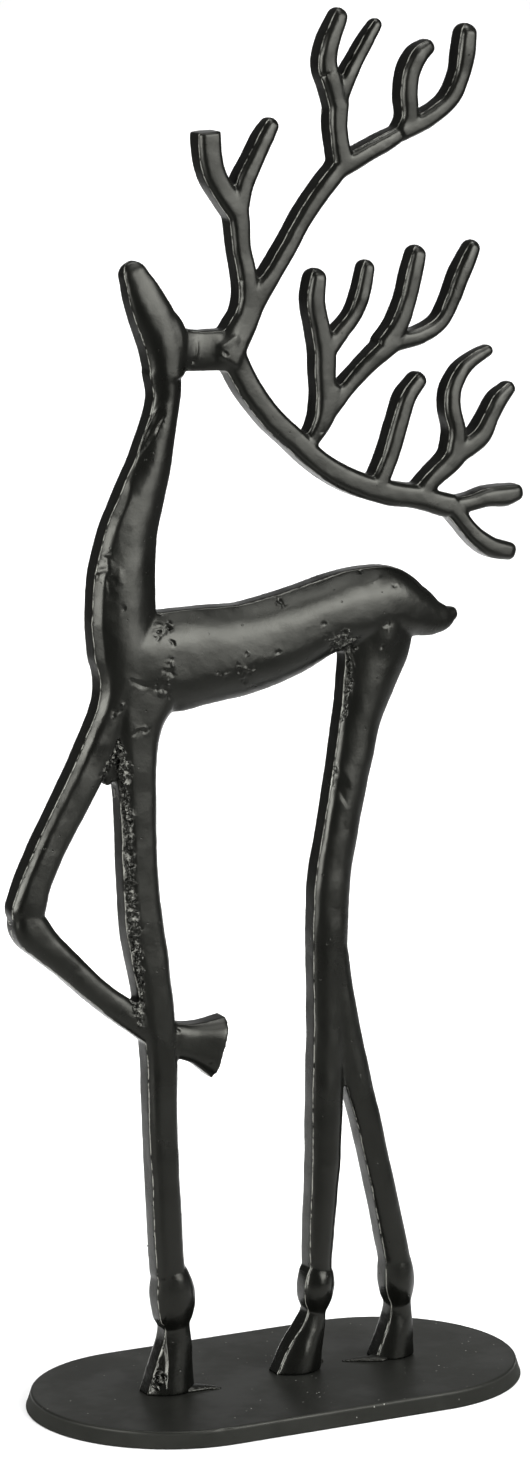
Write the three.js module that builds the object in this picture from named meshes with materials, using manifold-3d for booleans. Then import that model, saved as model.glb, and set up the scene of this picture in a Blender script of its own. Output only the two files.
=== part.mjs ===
// A stylised stag cast flat in iron, head up and one foreleg raised, standing on an oval plate.
// Millimetres, +Z up. The origin is the centre of the plate's underside, the head looks to -X,
// and the whole figure lies in the upright plane y = 0, where the two halves of its mould met.

import * as THREE from "three";
import { mergeVertices } from "three/addons/utils/BufferGeometryUtils.js";
import Module from "manifold-3d";

// Driving dimensions

const FIGURE_HEIGHT = 494; // from the soles to the highest antler tip
const PLATE_LENGTH = 190; // at the underside, along X
const PLATE_WIDTH = 104; // at the underside, along Y
const PLATE_THICKNESS = 6;
const PLATE_DRAFT = 1.9; // how far the plate's rim leans in on its way up
const PLATE_EDGE = 0.8; // bevel between the rim and the top
const PLATE_ARC_STEPS = 28; // flats round each half-round end

// The section of every limb has a flat band round the figure's outline, where the parting
// seam was ground off, and a crowned face on either side of it. The corners of a face are
// given across it, from -1 to 1, and the crown falls away from the middle with a power of that.

const BODY_CORNERS = [1, 0.82, 0.42, -0.42, -0.82, -1];
const BAR_CORNERS = [1, 0.72, 0, -0.72, -1];
const CROWN_POWER = 2.4; // 2 is a parabola, and more is flatter in the middle
const GROUND_BAND = 13.5; // width of the ground band, in the units of the stations
const BAND_SHARE = 0.64; // the most of a thin limb's depth that the band takes
const BAR_DEPTH = 21; // thickness of an antler bar, in the units of the stations
const BAR_FULLNESS = 1.5; // how deep a narrow bar is, as a share of its width
const RING_STEP = 11; // spacing of the sections along a limb, mm
const TIP_ANGLES = [35, 65]; // where the sections of a rounded tip stand, degrees
const TIP_REACH = 0.62; // how far a rounded tip runs on, as a share of its width
const SOLE_TRIM = 20; // how much is cut away under the soles, in the units of the stations

// Stations of the figure: [along, up, wide, deep], in thousandths of its height. Along and up
// place the middle of the limb, wide is its size in the parting plane, and deep is its size
// across it. A bar that states no depth is BAR_FULLNESS times its width deep, up to BAR_DEPTH.

const BODY = {
  neck_to_knee: {
    stations: [
      [-91.5, 750, 25, 27.5],
      [-90, 731, 22, 26],
      [-94.5, 710, 23.5, 26],
      [-101, 686, 29.5, 27],
      [-109.5, 661, 35.5, 28.5],
      [-118, 637, 41, 30.5],
      [-123.5, 606, 48.5, 33.5],
      [-124.5, 575, 51, 35.5],
      [-122, 545, 51.5, 37],
      [-126, 524, 38, 33.5],
      [-132, 509, 30, 30],
      [-153, 467.5, 26.5, 26],
      [-180.5, 419.5, 24.5, 24.5],
      [-194.5, 392, 24.5, 24.5],
      [-201, 373, 27.5, 24.5],
    ],
    rounded: true,
  },
  head: {
    stations: [
      [-89, 744, 26, 27.5],
      [-91.5, 767.5, 31.5, 28],
      [-99, 787, 30.5, 26.5],
      [-107.5, 805.5, 25.5, 22.5],
      [-113, 817.5, 19, 17.5],
    ],
    rounded: true,
  },
  cheek: {
    stations: [
      [-107.5, 802, 18, 20],
      [-96.5, 788, 23, 24],
      [-86.5, 774, 25, 25.5],
      [-85.5, 761, 23.5, 25.5],
      [-86, 751, 19, 24],
    ],
    rounded: true,
  },
  torso: {
    stations: [
      [-122, 544.5, 65.5, 36.5],
      [-85.5, 541, 73.5, 39],
      [-61.5, 542.5, 70.5, 41],
      [-29, 544.5, 66.5, 42],
      [3, 551.5, 63, 43],
      [20, 557, 59.5, 43],
      [38, 563, 56, 43],
      [64.5, 567.5, 57, 42],
      [89.5, 569.5, 51, 39],
      [110, 561.5, 39, 33],
      [126.5, 555, 27, 25],
      [137.5, 554.5, 18, 19.5],
      [143, 556, 10, 14],
    ],
    rounded: true,
  },
  thigh: {
    stations: [
      [79, 563, 61, 36.5],
      [80, 541, 55.5, 35],
      [73.5, 512.5, 44, 31.5],
      [66.5, 487, 35, 29],
      [60, 454.5, 31.5, 28],
      [51.5, 411, 29.5, 27],
      [44, 370.5, 29, 27],
      [42, 330, 29, 27],
      [41.5, 277, 26.5, 26],
      [39.5, 187, 25, 25],
      [38, 141.5, 23, 24.5],
      [34.5, 88, 19.5, 23.5],
      [34.5, 70, 17.5, 22.5],
    ],
  },
  foreleg: {
    stations: [
      [-108, 524, 59, 34.5],
      [-114, 504, 47, 33],
      [-115.5, 486, 37.5, 31.5],
      [-115.5, 466, 32.5, 30],
      [-114, 442, 29, 28],
      [-112.5, 390, 28, 27],
      [-108.5, 346, 30, 27],
      [-103.5, 317, 28.5, 27],
      [-96.5, 263.5, 25, 25.5],
      [-94.5, 196, 23, 25],
      [-91, 120.5, 23, 25],
      [-89, 88, 23, 24.5],
    ],
  },
};

const BARS = {
  chest_web: {
    stations: [
      [-124, 500, 24, 21.5],
      [-131, 477, 16, 16],
      [-137, 455, 5, 8],
    ],
  },
  raised_shin: {
    stations: [
      [-205, 380, 13, 18],
      [-199, 359, 27, 23.5],
      [-186, 343, 23.5, 23.5],
      [-170, 328, 20.5, 22.5],
      [-138.5, 299, 19, 21.5],
      [-98.5, 270.5, 24, 21.5],
    ],
  },
  raised_hoof: {
    stations: [
      [-98, 268, 25, 21.5],
      [-78.5, 261.5, 26, 22.5],
      [-66, 258.5, 31.5, 26.5],
      [-49.5, 254, 46.5, 33.5],
    ],
  },
  poll: {
    stations: [
      [-84, 763, 30, 26],
      [-75, 763, 29.5, 20],
      [-67.5, 762, 29, 17.5],
      [-60, 761.5, 28.5, 18.5],
      [-50, 761.5, 29, 22],
      [-40, 760.5, 29, 26],
    ],
  },
  lower_beam: {
    stations: [
      [-44, 769, 24, 25.5],
      [-33.5, 749.5, 19.5, 21.5],
      [-20.5, 727.5, 18, 21],
      [-5, 709, 17.5],
      [14.5, 691.5, 17.5],
      [35, 673.5, 17.5],
      [61, 659, 18],
      [88, 649.5, 18],
      [114.5, 644, 17.5],
      [139.5, 636, 17.5],
    ],
  },
  lower_beam_end: {
    stations: [
      [134, 635, 13],
      [154.5, 636.5, 13],
      [171.5, 640, 14],
      [186.5, 640, 16],
      [195.5, 641.5, 13],
    ],
    rounded: true,
  },
  lower_beam_spur: {
    stations: [
      [138, 640, 14.5],
      [151, 624, 13.5],
      [161, 613, 13.5],
      [175, 603, 15],
      [189.5, 599, 13.5],
    ],
    rounded: true,
  },
  palm_stem: {
    stations: [
      [20, 684, 11],
      [29, 695.5, 13],
      [35.5, 706.5, 16],
      [38.5, 717, 19],
      [40, 731, 21],
    ],
  },
  palm_tine_1: {
    stations: [
      [38, 719.5, 16.5],
      [37, 740, 17],
      [36.5, 755, 17],
      [33, 771.5, 15.5],
      [29, 792, 15],
      [31, 808, 13.5],
    ],
    rounded: true,
  },
  palm_tine_2: {
    stations: [
      [38, 755.5, 14.5],
      [50.5, 768, 12.5],
      [61, 779.5, 11.5],
      [67.5, 794, 12],
      [72, 813, 11],
    ],
    rounded: true,
  },
  palm_branch: {
    stations: [
      [36, 707, 13.5],
      [52, 725, 13.5],
      [66.5, 738.5, 13],
      [82.5, 751.5, 14.5],
      [96, 760.5, 15],
    ],
  },
  palm_tine_3: {
    stations: [
      [85, 756, 14.5],
      [97.5, 772, 14.5],
      [104.5, 789, 13.5],
      [109, 806, 13.5],
      [113, 820.5, 12.5],
    ],
    rounded: true,
  },
  palm_tine_4: {
    stations: [
      [93, 758, 13.5],
      [114.5, 761.5, 12.5],
      [132, 770.5, 12],
      [141.5, 786.5, 12.5],
      [149, 804, 13],
      [159, 822.5, 11],
    ],
    rounded: true,
  },
  middle_tine: {
    stations: [
      [76, 648, 13.5],
      [86.5, 668, 14],
      [93, 684, 14],
      [98.5, 701, 13.5],
      [105, 718, 13.5],
      [114, 729, 12],
    ],
    rounded: true,
  },
  fork_stem: {
    stations: [
      [110, 642, 12.5],
      [125.5, 656.5, 14.5],
      [140, 668, 16.5],
      [149.5, 679.5, 19.5],
    ],
  },
  fork_tine_1: {
    stations: [
      [143, 672, 15],
      [145.5, 690.5, 14],
      [141.5, 707, 13.5],
      [142.5, 721.5, 13],
      [151, 735, 11.5],
      [163, 743, 10],
      [172.5, 747, 8],
    ],
    rounded: true,
  },
  fork_tine_2: {
    stations: [
      [147, 674, 15],
      [165.5, 685.5, 15.5],
      [174, 699.5, 13.5],
      [181, 710.5, 13],
      [190, 718.5, 10],
    ],
    rounded: true,
  },
  upper_beam: {
    stations: [
      [-44, 754, 25, 25.5],
      [-30.5, 776.5, 22, 21.5],
      [-18.5, 796, 17.5, 21],
      [-5.5, 813, 14],
      [7.5, 832, 13.5],
      [20, 851.5, 13.5],
      [34.5, 870.5, 14],
      [50, 886.5, 14.5],
    ],
  },
  brow_stem: {
    stations: [
      [-31, 776, 17],
      [-25.5, 795.5, 15.5],
      [-26, 813, 15.5],
      [-30.5, 834.5, 15],
      [-32, 852.5, 16],
      [-34.5, 868, 17.5],
    ],
  },
  brow_tine_1: {
    stations: [
      [-31.5, 856, 16.5],
      [-43, 871.5, 17],
      [-51.5, 886, 17.5],
      [-55, 900, 18],
      [-56, 916, 18],
    ],
  },
  brow_tine_2: {
    stations: [
      [-32, 862, 15],
      [-28, 878.5, 14.5],
      [-20, 894, 13.5],
      [-12, 908, 13],
      [-5.5, 918, 11],
    ],
    rounded: true,
  },
  crown_stem: {
    stations: [
      [53, 882, 16],
      [49, 899.5, 15],
      [47, 916, 15],
      [48, 933, 15.5],
    ],
  },
  crown_tine_1: {
    stations: [
      [48, 924, 13],
      [43, 944, 15],
      [38, 960, 15.5],
      [41, 975, 14],
      [49, 993, 11.5],
    ],
    rounded: true,
  },
  crown_tine_2: {
    stations: [
      [47, 926, 11],
      [53.5, 945, 12.5],
      [62, 960.5, 11],
      [71.5, 975, 10.5],
      [79, 986, 8.5],
    ],
    rounded: true,
  },
  crown_branch: {
    stations: [
      [45, 883, 14.5],
      [66.5, 893.5, 14],
      [86, 902.5, 13.5],
      [101, 909.5, 11],
    ],
  },
  crown_tine_3: {
    stations: [
      [98.5, 908, 12],
      [105, 919.5, 13.5],
      [104, 936, 14],
      [106, 951, 14],
      [113, 963.5, 13.5],
      [120.5, 968.5, 11],
    ],
    rounded: true,
  },
  crown_tine_4: {
    stations: [
      [98, 908.5, 13.5],
      [121.5, 918.5, 13.5],
      [139, 931, 13],
      [148, 948, 13],
      [151, 963.5, 14.5],
      [153, 977, 13.5],
    ],
    rounded: true,
  },
  far_hind_leg: {
    stations: [
      [43, 330, 22, 25.5],
      [53, 268.5, 22, 25],
      [64, 221.5, 22, 24.5],
      [74.5, 182.5, 20, 23.5],
      [89.5, 119.5, 20, 23.5],
      [100, 70.5, 20.5, 23.5],
    ],
  },
};

// Feet: a rounded fetlock, a waist, and a hoof that flares down to the plate. The last
// station of each hoof lies below the sole, where the casting is cut off level.

const FEET = {
  fore_fetlock: {
    stations: [
      [-89, 93, 19.5, 23],
      [-87.5, 88, 25, 26.5],
      [-85.5, 76, 30.5, 30],
      [-84.5, 64.5, 30, 30],
      [-85, 54, 25.5, 27],
      [-85, 48, 18.5, 22],
    ],
  },
  fore_hoof: {
    stations: [
      [-84.5, 58, 20.5, 23],
      [-84, 45.5, 20.5, 23],
      [-84.5, 33, 25, 26],
      [-87, 15.5, 32.5, 31],
      [-90, -6, 41.5, 37],
    ],
  },
  hind_fetlock: {
    stations: [
      [34.5, 79, 15, 19],
      [34, 74, 21.5, 24],
      [33.5, 63, 25, 28],
      [32.5, 52, 22.5, 26],
      [32, 45, 15.5, 20],
    ],
  },
  hind_hoof: {
    stations: [
      [32.5, 52, 15.5, 19],
      [31, 41.5, 16, 19],
      [27, 28.5, 21.5, 24],
      [21, 14, 30, 29],
      [15, -6, 38, 33],
    ],
  },
  far_fetlock: {
    stations: [
      [99, 78, 15.5, 19],
      [99.5, 73, 21.5, 24],
      [101, 58, 25, 28],
      [101.5, 47, 21.5, 25],
      [102.5, 40, 15.5, 20],
    ],
  },
  far_hoof: {
    stations: [
      [102, 48, 16.5, 19],
      [102, 35, 18, 20],
      [101, 22, 23, 24],
      [99, 10.5, 28, 27],
      [96, -6, 36, 32],
    ],
  },
};

const shareOfHeight = FIGURE_HEIGHT / 1000;
const solePlane = PLATE_THICKNESS;

// Geometry helpers

// The corners of a unit section, in order round it. Across runs over the limb's width in the
// parting plane, face is the side of that plane, and rise goes from the ground band to the crown.
function unitSection(places) {
  const corners = [];
  for (const face of [1, -1]) {
    for (const place of places) {
      corners.push({ across: face * place, face, rise: 1 - Math.abs(place) ** CROWN_POWER });
    }
  }
  return corners;
}

// A closed surface through a list of rings with equal point counts, capped at both ends.
function skin(rings) {
  const count = rings[0].length;
  const positions = [];
  const indices = [];
  for (const ring of rings) {
    for (const point of ring) positions.push(point.x, point.y, point.z);
  }
  for (let r = 0; r < rings.length - 1; r++) {
    for (let i = 0; i < count; i++) {
      const a = r * count + i;
      const b = r * count + ((i + 1) % count);
      indices.push(a, b, b + count, a, b + count, a + count);
    }
  }
  const last = (rings.length - 1) * count;
  for (let i = 1; i < count - 1; i++) {
    indices.push(0, i + 1, i);
    indices.push(last, last + i, last + i + 1);
  }
  const geometry = new THREE.BufferGeometry();
  geometry.setAttribute("position", new THREE.Float32BufferAttribute(positions, 3));
  geometry.setIndex(indices);
  return geometry;
}

// One section of a limb, square to its course at this place.
function ringAt(middle, course, wide, deep, corners) {
  const across = new THREE.Vector3(course.z, 0, -course.x);
  const band = Math.min(GROUND_BAND * shareOfHeight, BAND_SHARE * deep);
  return corners.map((corner) =>
    middle
      .clone()
      .addScaledVector(across, (corner.across * wide) / 2)
      .add(new THREE.Vector3(0, (corner.face * (band + (deep - band) * corner.rise)) / 2, 0))
  );
}

// A limb: a smooth course through its stations, skinned with sections at even steps.
function limbGeometry({ stations, rounded = false }, places) {
  const corners = unitSection(places);
  const middles = stations.map(
    ([along, up]) =>
      new THREE.Vector3(along * shareOfHeight, 0, solePlane + up * shareOfHeight)
  );
  const sizes = stations.map(
    ([, , wide, deep = Math.min(wide * BAR_FULLNESS, BAR_DEPTH)]) =>
      new THREE.Vector3(wide * shareOfHeight, deep * shareOfHeight, 0)
  );
  const course = new THREE.CatmullRomCurve3(middles);
  const size = new THREE.CatmullRomCurve3(sizes, false, "catmullrom");
  const steps = Math.max(stations.length - 1, Math.ceil(course.getLength() / RING_STEP));
  const rings = [];
  for (let i = 0; i <= steps; i++) {
    const at = size.getPoint(i / steps);
    rings.push(
      ringAt(course.getPoint(i / steps), course.getTangent(i / steps), at.x, at.y, corners)
    );
  }
  if (rounded) {
    const end = course.getPoint(1);
    const heading = course.getTangent(1);
    const { x: wide, y: deep } = size.getPoint(1);
    for (const degrees of TIP_ANGLES) {
      const angle = THREE.MathUtils.degToRad(degrees);
      const middle = end.clone().addScaledVector(heading, Math.sin(angle) * wide * TIP_REACH);
      const shrink = Math.cos(angle);
      rings.push(ringAt(middle, heading, wide * shrink, deep * shrink, corners));
    }
  }
  return skin(rings);
}

// The outline of the plate, set in from its widest by the given amount, at one height.
function plateRing(inset, height) {
  const radius = PLATE_WIDTH / 2 - inset;
  const straight = (PLATE_LENGTH - PLATE_WIDTH) / 2;
  const ring = [];
  for (const side of [1, -1]) {
    for (let i = 0; i <= PLATE_ARC_STEPS; i++) {
      const angle = Math.PI * (i / PLATE_ARC_STEPS - 0.5);
      ring.push(
        new THREE.Vector3(
          side * (straight + radius * Math.cos(angle)),
          side * radius * Math.sin(angle),
          height
        )
      );
    }
  }
  return ring;
}

function plateGeometry() {
  return skin([
    plateRing(0, 0),
    plateRing(PLATE_DRAFT, PLATE_THICKNESS - PLATE_EDGE),
    plateRing(PLATE_DRAFT + PLATE_EDGE, PLATE_THICKNESS),
  ]);
}

// Joining and cutting

const wasm = await Module();
wasm.setup();

function toSolid(geometry) {
  const bare = geometry.clone();
  bare.deleteAttribute("normal");
  bare.deleteAttribute("uv");
  const merged = mergeVertices(bare);
  return new wasm.Manifold(
    new wasm.Mesh({
      numProp: 3,
      vertProperties: new Float32Array(merged.attributes.position.array),
      triVerts: new Uint32Array(merged.index.array),
    })
  );
}

function toGeometry(solid) {
  const mesh = solid.getMesh();
  const geometry = new THREE.BufferGeometry();
  geometry.setAttribute("position", new THREE.BufferAttribute(mesh.vertProperties, 3));
  geometry.setIndex(new THREE.BufferAttribute(mesh.triVerts, 1));
  geometry.computeVertexNormals();
  return geometry;
}

// Everything below the soles, as a block that is cut away.
function groundSolid() {
  const depth = SOLE_TRIM * shareOfHeight;
  const block = new THREE.BoxGeometry(FIGURE_HEIGHT, FIGURE_HEIGHT, depth);
  block.translate(0, 0, solePlane - depth / 2);
  return toSolid(block);
}

function stagGeometry() {
  const limbs = [
    ...Object.values(BODY).map((limb) => limbGeometry(limb, BODY_CORNERS)),
    ...Object.values(BARS).map((limb) => limbGeometry(limb, BAR_CORNERS)),
    ...Object.values(FEET).map((limb) => limbGeometry(limb, BODY_CORNERS)),
  ];
  const whole = limbs.map(toSolid).reduce((joined, limb) => joined.add(limb));
  return toGeometry(whole.subtract(groundSolid()));
}

// Materials

const blackIron = new THREE.MeshStandardMaterial({
  color: 0x2b2c29,
  roughness: 0.42,
  metalness: 0.35,
});
const blackIronPlate = new THREE.MeshStandardMaterial({
  color: 0x2e2f2b,
  roughness: 0.5,
  metalness: 0.35,
});

// The object

const statue = new THREE.Group();

const basePlate = new THREE.Mesh(plateGeometry(), blackIronPlate);
basePlate.name = "base_plate";
statue.add(basePlate);

const stag = new THREE.Mesh(stagGeometry(), blackIron);
stag.name = "stag";
statue.add(stag);

export default statue;
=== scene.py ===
"""A flat-cast iron stag on an oval plate: its castings, welds, black paint and photo studio."""

import enum
import logging
import math
from dataclasses import dataclass, field

import bmesh
import bpy
import numpy as np
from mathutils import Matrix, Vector, kdtree


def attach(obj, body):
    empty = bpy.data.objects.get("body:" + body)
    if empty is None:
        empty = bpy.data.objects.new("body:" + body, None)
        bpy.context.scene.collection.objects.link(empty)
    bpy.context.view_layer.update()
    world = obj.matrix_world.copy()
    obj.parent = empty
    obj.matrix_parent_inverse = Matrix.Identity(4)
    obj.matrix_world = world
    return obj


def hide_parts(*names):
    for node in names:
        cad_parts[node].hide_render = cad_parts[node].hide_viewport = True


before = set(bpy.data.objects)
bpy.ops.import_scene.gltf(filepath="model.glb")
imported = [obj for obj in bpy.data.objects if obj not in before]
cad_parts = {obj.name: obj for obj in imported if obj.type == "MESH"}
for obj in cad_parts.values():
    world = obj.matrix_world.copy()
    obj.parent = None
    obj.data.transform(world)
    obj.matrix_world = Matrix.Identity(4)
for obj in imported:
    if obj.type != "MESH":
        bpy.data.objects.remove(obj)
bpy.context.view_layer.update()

log = logging.getLogger("stag")

MM = 0.001
FIGURE_HEIGHT = 494.0
SHARE = FIGURE_HEIGHT / 1000
PLATE_TOP = 6.0
PLATE_LENGTH = 190.0
PLATE_WIDTH = 104.0


class Slot(enum.Enum):
    """The record's material slots."""

    CASTING = "black_cast_iron"
    PLATE = "black_plate"


# Shader and geometry node helpers


class Wire:
    """A shader socket that adds maths nodes when it is used in an expression."""

    def __init__(self, nodes: "Nodes", socket: bpy.types.NodeSocket) -> None:
        """Keeps the socket and the tree that it belongs to."""
        self.nodes = nodes
        self.socket = socket

    def _maths(self, operation: str, *values: "Wire | float") -> "Wire":
        """One Math node on these values."""
        return self.nodes.add("ShaderNodeMath", {"operation": operation}, dict(enumerate(values)))

    def __add__(self, other: "Wire | float") -> "Wire":
        """self + other."""
        return self._maths("ADD", self, other)

    __radd__ = __add__

    def __sub__(self, other: "Wire | float") -> "Wire":
        """self - other."""
        return self._maths("SUBTRACT", self, other)

    def __rsub__(self, other: float) -> "Wire":
        """other - self."""
        return self._maths("SUBTRACT", other, self)

    def __mul__(self, other: "Wire | float") -> "Wire":
        """self * other."""
        return self._maths("MULTIPLY", self, other)

    __rmul__ = __mul__

    def __abs__(self) -> "Wire":
        """abs(self)."""
        return self._maths("ABSOLUTE", self)

    def ramp(self, low: float, high: float, start: float = 0.0, end: float = 1.0) -> "Wire":
        """A smooth step from start to end as this value goes from low to high.

        Args:
            low: value at which the step begins.
            high: value at which it ends.
            start: result before the step.
            end: result after it.

        Returns:
            The stepped value.
        """
        sockets = {"Value": self, "From Min": low, "From Max": high, "To Min": start, "To Max": end}
        return self.nodes.add("ShaderNodeMapRange", {"interpolation_type": "SMOOTHSTEP"}, sockets)


class Nodes:
    """A node tree that is filled by type, settings and socket values."""

    def __init__(self, tree: bpy.types.NodeTree) -> None:
        """Clears the tree and keeps it."""
        tree.nodes.clear()
        self.tree = tree

    def add(
        self,
        kind: str,
        settings: dict[str, object] | None = None,
        sockets: dict[str | int, object] | None = None,
        output: str | int = 0,
    ) -> Wire:
        """Adds one node.

        Args:
            kind: the node's type.
            settings: properties that are set before any socket.
            sockets: values or wires by the input's name or number.
            output: the output that the wire stands for.

        Returns:
            The wire of that output.
        """
        node = self.tree.nodes.new(kind)
        for name, value in (settings or {}).items():
            setattr(node, name, value)
        for key, value in (sockets or {}).items():
            socket = node.inputs[key]
            if isinstance(value, Wire):
                self.tree.links.new(value.socket, socket)
            else:
                socket.default_value = value
        shown = [s for s in node.outputs if s.enabled]
        if not shown:
            return Wire(self, None)
        chosen = shown[output] if isinstance(output, int) else next(
            s for s in shown if s.name == output
        )
        return Wire(self, chosen)

    def mix(self, mask: Wire | float, low: object, high: object) -> Wire:
        """A colour between low and high by mask.

        Args:
            mask: 0 for low and 1 for high.
            low: colour or wire at 0.
            high: colour or wire at 1.

        Returns:
            The mixed colour.
        """
        sockets = {0: mask, 6: low, 7: high}
        return self.add("ShaderNodeMix", {"data_type": "RGBA"}, sockets)


# Finishes


@dataclass(frozen=True)
class BlackPaint:
    """Satin black paint over iron, with its grain and casting specks, pale dust specks on the
    plate, and on the casting a pale lip, partly rubbed bare and partly a painted highlight, and
    painted glints on rough crust.

    Lengths are in millimetres. A pair of numbers is where a smooth step begins and ends.
    """

    name: str
    colour: tuple[float, float, float] = (0.0045, 0.0047, 0.004)
    wear_and_highlight_colour: tuple[float, float, float] = (0.34, 0.34, 0.31)
    tint: tuple[float, float, float] = (1.0, 1.0, 0.92)
    ior: float = 1.42
    smooth: float = 0.27
    wet: float = 0.19
    wet_up_to: tuple[float, float] = (60.0, 160.0)
    dull: float = 0.46
    cloud: float = 22.0
    cloud_step: tuple[float, float] = (0.35, 0.65)
    cloud_dull: float = 0.08
    rim_dull: float = 0.0
    rim_step: tuple[float, float] = (1.4, 0.5)
    dust: float = 0.0
    grain: float = 0.9
    grain_depth: float = 0.03
    skin: float = 6.0
    skin_depth: float = 0.10
    speck: float = 4.5
    speck_depth: float = 0.12
    speck_step: tuple[float, float] = (0.055, 0.11)
    speck_patch: float = 9.0
    speck_chance: tuple[float, float] = (0.50, 0.60)
    lip_width: float = 0.4
    lip_depth: float = 0.26
    lip_wear_and_highlight: float = 0.8
    lip_drift: float = 0.8
    drift_size: float = 6.0
    break_size: float = 3.2
    break_step: tuple[float, float] = (0.36, 0.56)
    crust_size: float = 2.4
    crust_depth: float = 0.9
    crust_glint_step: tuple[float, float] = (0.54, 0.62)
    crust_glint: float = 0.5
    crust_gloss: float = 0.06
    reads_lip: bool = True

    def noise(self, nodes: Nodes, place: Wire, size: float, detail: float) -> Wire:
        """Noise whose features are this many millimetres wide."""
        sockets = {"Vector": place, "Scale": 1 / size, "Detail": detail, "Roughness": 0.55}
        return nodes.add("ShaderNodeTexNoise", None, sockets)

    def marked(self, nodes: Nodes, name: str) -> Wire:
        """What the casting's mesh stores under this name."""
        return nodes.add("ShaderNodeAttribute", {"attribute_name": name}, None, "Fac")

    def lip(self, nodes: Nodes, place: Wire, height: Wire, cloud: Wire) -> tuple[Wire, ...]:
        """The casting's ground band with its lip, partly rubbed bare and partly a painted highlight
        on the side towards the head, and the crust on rough skin with painted glints.

        Args:
            nodes: the paint's nodes.
            place: the place in millimetres.
            height: the paint's relief so far.
            cloud: the noise of the paint's dull clouds.

        Returns:
            The relief, the pale marks of rubbing, painted highlight and painted glints, and the
            roughness.
        """
        rough = self.marked(nodes, "rough_skin")
        drift = (self.noise(nodes, place, self.drift_size, 3.0) - 0.5) * self.lip_drift
        edge = self.marked(nodes, "beyond_band") + drift
        crust = self.noise(nodes, place, self.crust_size, 4.0)
        height = height - edge.ramp(0.0, self.lip_width) * self.lip_depth
        height = height + rough * crust * self.crust_depth
        lip = abs(edge).ramp(0.0, self.lip_width, 1.0, 0.0)
        broken = self.noise(nodes, place, self.break_size, 2.0).ramp(*self.break_step)
        # Painted highlight: pale colour along the broken lip, only on faces turned towards the
        # head, where the light from the left falls; partly real rubbing of the edge.
        wear_and_highlight = lip * broken * self.marked(nodes, "towards_head") * self.lip_wear_and_highlight
        # Painted glints: pale colour on the crust's peaks on rough skin.
        wear_and_highlight = wear_and_highlight + rough * crust.ramp(*self.crust_glint_step) * self.crust_glint
        up = nodes.add("ShaderNodeSeparateXYZ", None, {"Vector": place}, "Z")
        gloss = up.ramp(*self.wet_up_to, self.wet, self.smooth)
        gloss = gloss + cloud.ramp(*self.cloud_step, 0.0, self.cloud_dull)
        return height, wear_and_highlight, gloss - rough * self.crust_gloss

    def material(self) -> bpy.types.Material:
        """Builds the finish.

        Returns:
            The material.
        """
        paint = bpy.data.materials.new(self.name)
        paint.use_nodes = True
        nodes = Nodes(paint.node_tree)
        metres = nodes.add("ShaderNodeTexCoord", None, None, "Object")
        place = nodes.add(
            "ShaderNodeVectorMath", {"operation": "SCALE"}, {0: metres, "Scale": 1 / MM}
        )
        grain = self.noise(nodes, place, self.grain, 3.0)
        skin = self.noise(nodes, place, self.skin, 2.0)
        cloud = self.noise(nodes, place, self.cloud, 3.0)
        cells = nodes.add(
            "ShaderNodeTexVoronoi",
            {"feature": "F1"},
            {"Vector": place, "Scale": 1 / self.speck, "Randomness": 1.0},
            "Distance",
        )
        chance = self.noise(nodes, place, self.speck_patch, 1.0).ramp(*self.speck_chance)
        speck = cells.ramp(*self.speck_step, 1.0, 0.0) * chance
        height = grain * self.grain_depth + skin * self.skin_depth - speck * self.speck_depth
        if self.reads_lip:
            height, wear_and_highlight, gloss = self.lip(nodes, place, height, cloud)
        else:
            wear_and_highlight = speck * self.dust
            gloss = cloud.ramp(*self.cloud_step, self.smooth, self.dull)
        if self.rim_dull:
            up = nodes.add("ShaderNodeSeparateXYZ", None, {"Vector": place}, "Z")
            low, high = (PLATE_TOP - below for below in self.rim_step)
            gloss = gloss + up.ramp(low, high, self.rim_dull - self.smooth, 0.0)
        sockets = {"Height": height, "Strength": 1.0, "Distance": MM}
        bump = nodes.add("ShaderNodeBump", None, sockets)
        sockets = {
            # Pale colour: real dust on the plate; on the casting, a painted highlight along the lip
            # and painted glints on the crust.
            "Base Color": nodes.mix(wear_and_highlight, (*self.colour, 1.0), (*self.wear_and_highlight_colour, 1.0)),
            "Roughness": gloss,
            "Normal": bump,
            "IOR": self.ior,
            "Specular Tint": (*self.tint, 1.0),
        }
        shader = nodes.add("ShaderNodeBsdfPrincipled", None, sockets)
        nodes.add("ShaderNodeOutputMaterial", None, {"Surface": shader})
        return paint


# Castings


@dataclass(frozen=True)
class Limb:
    """One bar of the casting, through stations of (along, up, wide, deep).

    Along and up place its middle, wide is its size in the figure's plane and deep its size
    across it, all in thousandths of the figure's height. A station without a depth is one of
    a plain antler bar. A higher crown makes the face flatter, and below one height, in
    millimetres, the face is flat. Edge gives two heights, between which the edge towards the
    head is ground off, and that facet's width, in millimetres.
    """

    stations: tuple[tuple[float, ...], ...]
    rounded: bool = False
    crown: float = 2.0
    flat_below: float = 0.0
    edge: tuple[float, float, float] = (0.0, 0.0, 0.0)


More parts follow.
